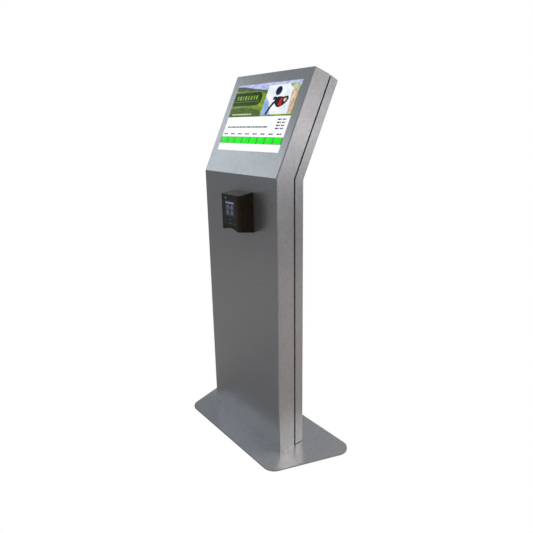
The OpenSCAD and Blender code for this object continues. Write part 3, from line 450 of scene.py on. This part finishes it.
class Sheet:
    """A flat face with u to the right and v down, both 0 to 1, on which thin coloured shapes are laid."""

    def __init__(self, origin, right, up, normal, width, height):
        self.origin, self.right, self.up, self.normal = origin, right, up, normal
        self.width, self.height = width, height
        self.bm = bmesh.new()
        self.materials = []

    def point(self, u, v, h):
        """Where (u, v) lies, h above the face."""
        across, upward = u * self.width, (1 - v) * self.height
        return self.origin + self.right * across + self.up * upward + self.normal * h

    def shape(self, outline, level, material):
        """Thin closed plate with this outline of (u, v) points, from the face up to height level."""
        if material not in self.materials:
            self.materials.append(material)
        index = self.materials.index(material)
        top = [self.bm.verts.new(self.point(u, v, level)) for u, v in outline]
        bottom = [self.bm.verts.new(self.point(u, v, 0.0)) for u, v in outline]
        faces = [self.bm.faces.new(top), self.bm.faces.new(bottom[::-1])]
        for i in range(len(outline)):
            j = (i + 1) % len(outline)
            faces.append(self.bm.faces.new((top[i], bottom[i], bottom[j], top[j])))
        for face in faces:
            face.material_index = index

    def rect(self, u0, v0, u1, v1, level, material, radius=0.0, steps=6):
        """Rectangle, with rounded corners if radius, in metres, is more than 0."""
        if radius <= 0:
            self.shape([(u0, v0), (u1, v0), (u1, v1), (u0, v1)], level, material)
            return
        ru, rv = radius / self.width, radius / self.height
        outline = []
        for cu, cv, start in ((u1 - ru, v0 + rv, -90), (u1 - ru, v1 - rv, 0),
                              (u0 + ru, v1 - rv, 90), (u0 + ru, v0 + rv, 180)):
            for i in range(steps + 1):
                a = math.radians(start + 90 * i / steps)
                outline.append((cu + ru * math.cos(a), cv + rv * math.sin(a)))
        self.shape(outline, level, material)

    def disc(self, u, v, radius, level, material, steps=28):
        angles = [2 * math.pi * i / steps for i in range(steps)]
        self.shape([(u + radius / self.width * math.cos(a), v + radius / self.height * math.sin(a))
                    for a in angles], level, material)

    def band(self, path, thickness, level, material):
        """Strip of even thickness, in metres, along a path of (u, v) points."""
        points = [Vector((u * self.width, v * self.height)) for u, v in path]
        left, right = [], []
        for i, p in enumerate(points):
            along = (points[min(i + 1, len(points) - 1)] - points[max(i - 1, 0)]).normalized()
            side = Vector((-along.y, along.x)) * thickness / 2
            left.append(p + side)
            right.append(p - side)
        self.shape([(p.x / self.width, p.y / self.height) for p in left + right[::-1]], level, material)

    def words(self, u0, u1, v, height, level, material, lengths=(3, 5, 2, 6, 4)):
        """Line of greeked text: rounded bars of varied lengths with gaps between them."""
        unit = height * 0.62 / self.width
        u, i = u0, 0
        while u < u1 - unit:
            end = min(u + lengths[i % len(lengths)] * unit, u1)
            self.rect(u, v - height / 2 / self.height, end, v + height / 2 / self.height, level, material)
            u, i = end + 0.8 * unit, i + 1

    def finish(self, name, body):
        """Turns what was laid on the face into one piece that rides on body."""
        new_object(name, self.bm, self.materials, body)


# ---------------------------------------------------------------- cables

CABLE_SLEEVE = 1.25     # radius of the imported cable's round corners and of the boots, in cable radii
CABLE_THIN = 0.95       # radius of the visual cable between its boots, in packed cable radii
CABLE_BEND = 7          # how far before a corner its bend starts, in radii
CABLE_BOOT = 5          # length of a boot, in radii
CABLES = {
    # node: (radius in mm, corners of its line as shares of its box, inset by CABLE_SLEEVE radii)
    "mains_cable": (4.0, ((0, 0.5, 0), (0, 0.5, 0.31), (1, 0.5, 0.31), (1, 0.5, 1))),
    "dc_cable": (3.0, ((0.58, 0.5, 0), (1, 0.5, 0), (1, 0.5, 0.62), (0, 0.5, 0.62), (0, 0.5, 1))),
    "display_cable": (3.5, ((1, 0.19, 0), (1, 0.19, 0.07), (0, 0, 0.16), (0, 0, 0.53), (0, 0.11, 0.64),
                            (0, 1, 0.98), (0, 0.81, 1))),
    "reader_cable": (3.0, ((1, 0, 1), (1, 0.59, 1), (1, 0.72, 0.42), (0, 1, 0.42), (0, 1, 0))),
    "earth_lead": (2.0, ((1, 0, 0), (1, 0.71, 0.06), (0.1, 1, 0.69), (0, 1, 1))),
}


def rounded_path(points, radius, steps=8):
    """The same line with each corner turned into a smooth bend."""
    path = [points[0]]
    for before, corner, after in zip(points, points[1:], points[2:]):
        reach = min(radius, (before - corner).length / 2, (after - corner).length / 2)
        start = corner + (before - corner).normalized() * reach
        end = corner + (after - corner).normalized() * reach
        for i in range(steps + 1):
            t = i / steps
            path.append(start * (1 - t) ** 2 + corner * (2 * t * (1 - t)) + end * t ** 2)
    path.append(points[-1])
    return path


def cable(node, radius, shares):
    """Smooth round cable with a thicker boot at each end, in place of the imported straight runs.

    Its ends lie within 1.5 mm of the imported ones, so the earth lead and the reader cable stop as short of
    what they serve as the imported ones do.
    """
    lo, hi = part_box(node)
    sleeve = Vector((1, 1, 1)) * radius * MM * CABLE_SLEEVE
    lo, hi = lo + sleeve, hi - sleeve
    corners = [Vector(l + (h - l) * share for l, h, share in zip(lo, hi, shares_of)) for shares_of in shares]
    for end, neighbour in ((0, 1), (-1, -2)):
        # A flat end that makes the box's own limit has no round corner there, so it runs on by that much
        outward = corners[end] - corners[neighbour]
        axis = max(range(3), key=lambda i: abs(outward[i]))
        if shares[end][axis] == (1 if outward[axis] > 0 else 0):
            corners[end] = corners[end] + outward.normalized() * radius * MM * CABLE_SLEEVE
    path = rounded_path(corners, CABLE_BEND * radius * MM)
    boot = CABLE_BOOT * radius * MM
    for end, neighbour, index in ((0, 1, 1), (-1, -2, -1)):
        run = path[neighbour] - path[end]
        path.insert(index, path[end] + run.normalized() * min(boot, 0.8 * run.length))
    curve = bpy.data.curves.new(node + "_run", "CURVE")
    curve.dimensions = "3D"
    curve.bevel_depth, curve.bevel_resolution, curve.use_fill_caps = radius * MM, 5, True
    spline = curve.splines.new("POLY")
    spline.points.add(len(path) - 1)
    for i, (point, place) in enumerate(zip(spline.points, path)):
        at_end = i < 2 or i > len(path) - 3
        point.co, point.radius = (*place, 1), CABLE_SLEEVE if at_end else CABLE_THIN
    curve.materials.append(MATERIALS[SLOT_OF[node]])
    obj = bpy.data.objects.new(node + "_run", curve)
    bpy.context.scene.collection.objects.link(obj)
    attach(obj, "cabinet")
    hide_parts(node)


for cable_node, (cable_radius, cable_shares) in CABLES.items():
    cable(cable_node, cable_radius, cable_shares)


# ---------------------------------------------------------------- picture on the screen

def glow(name, light, dark, scale=14.0, strength=1.0, stretch=(1, 1, 1)):
    """Lit picture element behind glass: colour that drifts from dark to light, and a faint gloss."""
    s = Shader(name)
    color = s.ramp(s.noise(scale, 3, s.stretched(stretch)), [(0.34, dark), (0.66, light)])
    s.set(Base_Color=(0.003, 0.003, 0.003), Roughness=0.2, Specular_IOR_Level=0.1)
    s.set(Emission_Color=color, Emission_Strength=strength)
    return s.material


def screen_picture():
    """Start page of a charging terminal.

    A landscape header with a banner and a plug, then lines that stand for text, then eight buttons.
    """
    sheet = Sheet(*flat_face("touch_glass"))
    layer = 0.018 * MM
    page = glow("ui_page_white", srgb(255, 255, 255), srgb(250, 251, 255))
    sky = glow("ui_sky", srgb(214, 218, 244), srgb(160, 168, 222), 40, stretch=(1, 4, 4))
    ridge = glow("ui_ridge", srgb(96, 112, 92), srgb(70, 84, 72), 50)
    meadow = glow("ui_meadow", srgb(150, 176, 44), srgb(92, 124, 28), 26, stretch=(1, 5, 5))
    meadow_dark = glow("ui_meadow_dark", srgb(88, 112, 34), srgb(58, 82, 26), 40, stretch=(1, 5, 5))
    rim = glow("ui_banner_rim", srgb(122, 148, 70), srgb(96, 122, 54), 40)
    banner = glow("ui_banner", srgb(50, 74, 26), srgb(30, 50, 18), 40, stretch=(1, 4, 4))
    banner_text = glow("ui_banner_text", srgb(142, 176, 66), srgb(112, 146, 52), 60)
    pale = glow("ui_pale_text", srgb(232, 236, 216), srgb(202, 210, 180), 60)
    sheet_metal = glow("ui_car_panel", srgb(253, 254, 255), srgb(222, 231, 243), 20)
    shade = glow("ui_car_shade", srgb(178, 202, 238), srgb(134, 168, 216), 24)
    port = glow("ui_charge_port", srgb(46, 50, 84), srgb(14, 16, 34), 40)
    plug = glow("ui_plug", srgb(38, 40, 44), srgb(18, 20, 22), 60)
    accent = glow("ui_plug_accent", srgb(214, 44, 40), srgb(168, 24, 26), 60)
    sand = glow("ui_warm_ground", srgb(236, 220, 206), srgb(192, 148, 120), 60)
    leaves = glow("ui_leaves", srgb(214, 226, 190), srgb(120, 158, 60), 90)
    ink = glow("ui_ink", srgb(52, 52, 58), srgb(28, 28, 34), 80)
    tray = glow("ui_button_tray", srgb(92, 104, 94), srgb(66, 80, 68), 80)
    button = glow("ui_button_green", srgb(4, 250, 4), srgb(0, 232, 0), 24)
    button_light = glow("ui_button_light", srgb(60, 255, 60), srgb(24, 252, 24), 24)

    sheet.rect(0, 0, 1, 1, layer, page)
    header = 0.495
    sheet.rect(0, 0, 1, header, 2 * layer, meadow)
    sheet.shape([(0, 0), (1, 0), (1, 0.10), (0.52, 0.105), (0.3, 0.07), (0.12, 0.03), (0, 0.022)],
                3 * layer, sky)
    sheet.shape([(0, 0.022), (0.12, 0.03), (0.3, 0.07), (0.52, 0.105), (0.52, 0.15), (0.3, 0.115), (0, 0.09)],
                3 * layer, ridge)
    sheet.shape([(0, 0.36), (0.2, 0.345), (0.5, 0.40), (0.54, header), (0, header)], 3 * layer, meadow_dark)
    sheet.shape([(0, 0.352), (0.2, 0.335), (0.52, 0.385), (0.52, 0.40), (0.2, 0.352), (0, 0.372)],
                4 * layer, rim)

    # Banner that runs in from the left edge and ends in a round nose
    for inset, level, material in ((0.0, 4, rim), (0.014, 5, banner)):
        top, bottom = 0.108 + inset, 0.338 - inset
        nose_u, nose_v, radius = 0.40, (top + bottom) / 2, (bottom - top) / 2
        arc = [(nose_u + radius * sheet.height / sheet.width * math.cos(a), nose_v + radius * math.sin(a))
               for a in (math.radians(-90 + 180 * i / 16) for i in range(17))]
        sheet.shape([(0, top), *arc, (0, bottom)], level * layer, material)
    sheet.words(0.05, 0.405, 0.205, 0.062 * sheet.height, 6 * layer, banner_text, (0.9, 1.1, 0.7, 1.0))
    sheet.rect(0.0, 0.258, 0.44, 0.266, 6 * layer, rim)
    sheet.words(0.06, 0.38, 0.457, 0.020 * sheet.height, 6 * layer, pale, (2.2, 1.4, 3, 1.8))

    # Inset picture: a charging plug with its cable in front of a pale car panel
    sheet.rect(0.532, 0.045, 0.985, 0.47, 4 * layer, sheet_metal)
    sheet.shape([(0.532, 0.20), (0.60, 0.28), (0.68, 0.47), (0.532, 0.47)], 5 * layer, shade)
    sheet.shape([(0.90, 0.13), (0.985, 0.10), (0.985, 0.47), (0.925, 0.47), (0.915, 0.30)], 5 * layer, sand)
    sheet.shape([(0.84, 0.045), (0.985, 0.045), (0.985, 0.135), (0.93, 0.12), (0.875, 0.09)],
                5 * layer, leaves)
    sheet.disc(0.705, 0.135, 0.048 * sheet.width, 5 * layer, shade)
    sheet.disc(0.705, 0.132, 0.044 * sheet.width, 6 * layer, port)
    sheet.band([(0.612, 0.47), (0.625, 0.43), (0.645, 0.375), (0.668, 0.325), (0.70, 0.285)],
               0.030 * sheet.width, 6 * layer, plug)
    sheet.shape([(0.685, 0.265), (0.70, 0.225), (0.745, 0.215), (0.80, 0.225), (0.865, 0.215), (0.885, 0.25),
                 (0.87, 0.30), (0.83, 0.345), (0.775, 0.375), (0.735, 0.36), (0.70, 0.315)], 7 * layer, plug)
    sheet.shape([(0.768, 0.245), (0.792, 0.24), (0.80, 0.28), (0.812, 0.335), (0.775, 0.355), (0.752, 0.335),
                 (0.760, 0.29)], 8 * layer, accent)
    sheet.shape([(0.815, 0.25), (0.855, 0.24), (0.862, 0.265), (0.842, 0.295), (0.82, 0.29)], 8 * layer, sand)
    sheet.rect(0.655, 0.215, 0.70, 0.262, 8 * layer, port, 0.006 * sheet.width)

    # Price lines at the right, then the message line
    for i in range(4):
        v = 0.543 + 0.0425 * i
        sheet.words(0.835, 0.895, v, 0.019 * sheet.height, 2 * layer, ink, (5, 3))
        sheet.words(0.910, 0.955, v, 0.019 * sheet.height, 2 * layer, ink, (3, 2))
    sheet.words(0.052, 0.725, 0.648, 0.019 * sheet.height, 2 * layer, ink, (5, 3, 7, 2, 4, 6))

    # Row of eight buttons with a label over each
    count, margin, pitch = 8, 0.006, 0.988 / 8
    sheet.rect(0, 0.793, 1, 0.893, 2 * layer, tray)
    for i in range(count):
        u0 = margin + i * pitch
        sheet.words(u0 + 0.022, u0 + pitch - 0.024, 0.750, 0.019 * sheet.height, 2 * layer, ink, (4, 3, 2))
        sheet.rect(u0 + 0.004, 0.798, u0 + pitch - 0.008, 0.888, 3 * layer, button, 0.0018)
        sheet.rect(u0 + 0.016, 0.812, u0 + 0.060, 0.834, 4 * layer, button_light, 0.0015)
    sheet.finish("screen_picture", "cabinet")


screen_picture()


# ---------------------------------------------------------------- picture on the card reader

def reader_picture():
    """Idle page of the reader: a light bar and four round icons on a blue-violet ground."""
    sheet = Sheet(*flat_face("reader_display"))
    layer = 0.02 * MM
    ground = glow("reader_ui_ground", srgb(66, 70, 98), srgb(42, 46, 70), 60, 0.8)
    bar = glow("reader_ui_bar", srgb(156, 158, 172), srgb(112, 116, 136), 60, 0.8)
    icon = glow("reader_ui_icon", srgb(132, 130, 86), srgb(98, 98, 64), 90, 0.85)
    dim = glow("reader_ui_dim", srgb(92, 98, 132), srgb(70, 76, 110), 90, 0.7)
    sheet.rect(0.03, 0.035, 0.97, 0.965, layer, ground, 1.5 * MM)
    sheet.rect(0.10, 0.08, 0.90, 0.19, 2 * layer, bar, 0.8 * MM)
    for u in (0.29, 0.71):
        for v in (0.42, 0.75):
            sheet.disc(u, v, 8.6 * MM, 2 * layer, dim)
            sheet.disc(u, v, 7.2 * MM, 3 * layer, icon)
            sheet.rect(u - 0.06, v - 0.035, u + 0.06, v + 0.035, 4 * layer, ground, 0.9 * MM)
    sheet.finish("reader_picture", "cabinet")


def reader_marks():
    """Contactless target under the window and small warm marks at the foot of the reader's face: print, made
    to glow, so their brightness is painted light.
    """
    sheet = Sheet(*flat_face("reader_face"))
    layer = 0.03 * MM
    # painted light: these printed marks emit light, so they glow though no lamp is behind them
    target = glow("reader_target_painted_glow", srgb(150, 158, 186), srgb(112, 120, 152), 120, 0.6)
    warm = glow("reader_print_painted_glow", srgb(176, 166, 132), srgb(140, 128, 96), 120, 0.45)
    sheet.disc(0.5, 0.80, 2.6 * MM, layer, target)
    for u, w in ((0.50, 0.10), (0.80, 0.06)):
        sheet.rect(u - w / 2, 0.925, u + w / 2, 0.948, layer, warm, 1.2 * MM)
    sheet.finish("reader_marks", "cabinet")


reader_picture()
reader_marks()


# ---------------------------------------------------------------- rating plates, and painted shade for perforations inside

def rating_plate(sheet, u0, v0, u1, v1, layer, paper, ink):
    """Blank rating plate: a pale rectangle with greeked lines."""
    sheet.rect(u0, v0, u1, v1, layer, paper, 1.0 * MM)
    for i in range(4):
        v = v0 + (v1 - v0) * (0.22 + 0.19 * i)
        end = u1 - (u1 - u0) * (0.12 if i % 2 else 0.35)
        sheet.words(u0 + (u1 - u0) * 0.1, end, v, 0.09 * (v1 - v0) * sheet.height, 2 * layer, ink)


def power_supply_details():
    """Dark discs of painted shade that stand for air holes, and a rating plate on the back of the power
    supply.
    """
    sheet = Sheet(*flat_face("power_supply", 1))
    layer = 0.05 * MM
    hole = moulded("air_hole_shadow", srgb(14, 14, 15), srgb(6, 6, 7), 0.8)
    paper = moulded("rating_plate_paper", srgb(232, 232, 228), srgb(218, 218, 214), 0.6, 200, 0.01)
    ink = moulded("rating_plate_ink", srgb(70, 70, 74), srgb(48, 48, 52), 0.6, 200, 0.01)
    across, down, pitch, radius = 9, 6, 6.0 * MM, 1.7 * MM
    for row in range(down):
        for column in range(across - row % 2):
            u = 0.5 + (column - (across - 1 - row % 2) / 2) * pitch / sheet.width
            v = 0.30 + (row - (down - 1) / 2) * pitch * 0.87 / sheet.height
            # painted shade: dark discs stand in for the shadow inside the air holes, which are not cut
            sheet.disc(u, v, radius, layer, hole, 10)
    rating_plate(sheet, 0.2, 0.60, 0.8, 0.86, layer, paper, ink)
    sheet.finish("power_supply_details", "cabinet")


power_supply_details()


# ---------------------------------------------------------------- stage, light and camera

FLOOR_SIZE = 14         # metres
FLOOR_GAP = 0.4         # how far the floor lies below the plate, in mm


def stage_floor():
    """Pale floor. It reads as plain white to the camera and as soft grey to what is mirrored in the paint."""
    bpy.ops.mesh.primitive_plane_add(size=FLOOR_SIZE, location=(0, 0, cad_lo.z - FLOOR_GAP * MM))
    floor = bpy.context.object
    floor.name = "floor"
    s = Shader("pale_floor")
    shade = s.ramp(s.noise(6, 4), [(0.3, (0.47, 0.435, 0.41)), (0.7, (0.53, 0.495, 0.47))])
    s.set(Base_Color=shade, Roughness=0.8)
    out = s.tree.nodes["Material Output"]
    white = s.node("ShaderNodeEmission", Strength=1.0)
    rays = s.tree.nodes.new("ShaderNodeLightPath")
    blend = s.tree.nodes.new("ShaderNodeMixShader")
    s.feed(blend.inputs[0], rays.outputs["Is Camera Ray"])
    s.feed(blend.inputs[1], s.bsdf.outputs[0])
    s.feed(blend.inputs[2], white.outputs[0])
    s.feed(out.inputs["Surface"], blend.outputs[0])
    floor.data.materials.append(s.material)


def unit_vector(azimuth, elevation):
    """Direction at this compass angle (0 is the user's side, 90 is +X) and elevation, in degrees."""
    a, e = math.radians(azimuth), math.radians(elevation)
    return Vector((math.sin(a) * math.cos(e), -math.cos(a) * math.cos(e), math.sin(e)))


def area_light(name, azimuth, elevation, distance, size, power, color, aim):
    """Soft box that lights aim from this direction, in degrees, and distance."""
    back = unit_vector(azimuth, elevation)
    data = bpy.data.lights.new(name, "AREA")
    data.shape = "RECTANGLE"
    data.size, data.size_y = size
    data.energy, data.color = power, color
    light = bpy.data.objects.new(name, data)
    bpy.context.scene.collection.objects.link(light)
    light.location = aim + back * distance
    light.rotation_mode = "QUATERNION"
    light.rotation_quaternion = back.to_track_quat("Z", "Y")


def world_light():
    """White to the camera, and a grey room with a lighter ceiling to every other ray."""
    world = bpy.data.worlds.new("studio")
    bpy.context.scene.world = world
    world.use_nodes = True
    tree = world.node_tree
    tree.nodes.clear()
    out = tree.nodes.new("ShaderNodeOutputWorld")
    coords = tree.nodes.new("ShaderNodeTexCoord")
    split = tree.nodes.new("ShaderNodeSeparateXYZ")
    ramp = tree.nodes.new("ShaderNodeValToRGB")
    room = tree.nodes.new("ShaderNodeBackground")
    white = tree.nodes.new("ShaderNodeBackground")
    rays = tree.nodes.new("ShaderNodeLightPath")
    blend = tree.nodes.new("ShaderNodeMixShader")
    elements = ramp.color_ramp.elements
    elements[0].position, elements[0].color = 0.0, (0.30, 0.31, 0.33, 1)
    elements[1].position, elements[1].color = 0.8, (0.62, 0.65, 0.70, 1)
    room.inputs["Strength"].default_value = 0.60
    white.inputs["Strength"].default_value = 1.0
    white.inputs["Color"].default_value = (1, 1, 1, 1)
    link = tree.links.new
    link(coords.outputs["Generated"], split.inputs[0])
    link(split.outputs["Z"], ramp.inputs[0])
    link(ramp.outputs[0], room.inputs["Color"])
    link(rays.outputs["Is Camera Ray"], blend.inputs[0])
    link(room.outputs[0], blend.inputs[1])
    link(white.outputs[0], blend.inputs[2])
    link(blend.outputs[0], out.inputs["Surface"])


def add_camera():
    """Camera at the viewing angle of the reference: right of the front and above mid height."""
    azimuth, elevation, roll = 52.53, 16.48, math.radians(-1.04)
    aim = Vector((0.0575, 0.026, (cad_lo.z + cad_hi.z) / 2))
    distance = 2.0
    back = unit_vector(azimuth, elevation)
    right = Vector((0, 0, 1)).cross(back).normalized()
    up = back.cross(right)
    turned = right * math.cos(roll) + up * math.sin(roll)
    up = up * math.cos(roll) - right * math.sin(roll)
    data = bpy.data.cameras.new("camera")
    data.lens, data.sensor_width = 33.0, 36.0
    data.clip_start, data.clip_end = 0.05, 60
    camera = bpy.data.objects.new("camera", data)
    bpy.context.scene.collection.objects.link(camera)
    rotation = Matrix((turned, up, back)).transposed().to_4x4()
    camera.matrix_world = Matrix.Translation(aim + back * distance) @ rotation
    bpy.context.scene.camera = camera


stage_floor()
world_light()
MIDDLE = Vector((0, 0, (cad_lo.z + cad_hi.z) / 2))
HEAD = Vector((0, 0, 1.28))     # a point at the height of the head
LIGHTS = (
    # name, azimuth and elevation in degrees, distance, (width, height), power in watts, colour, aim
    ("key", 143, 45, 3.4, (1.6, 1.6), 72, (1.0, 0.92, 0.86), MIDDLE),
    ("front_left", -63, 19, 3.2, (2.4, 1.3), 10.5, (0.86, 0.95, 1.0), HEAD),
    ("right_wall", 122, 9, 3.4, (1.8, 0.7), 6.5, (1.0, 0.96, 0.98), MIDDLE),
)
for light in LIGHTS:
    area_light(*light)
add_camera()
bpy.context.scene.view_settings.view_transform = "Standard"
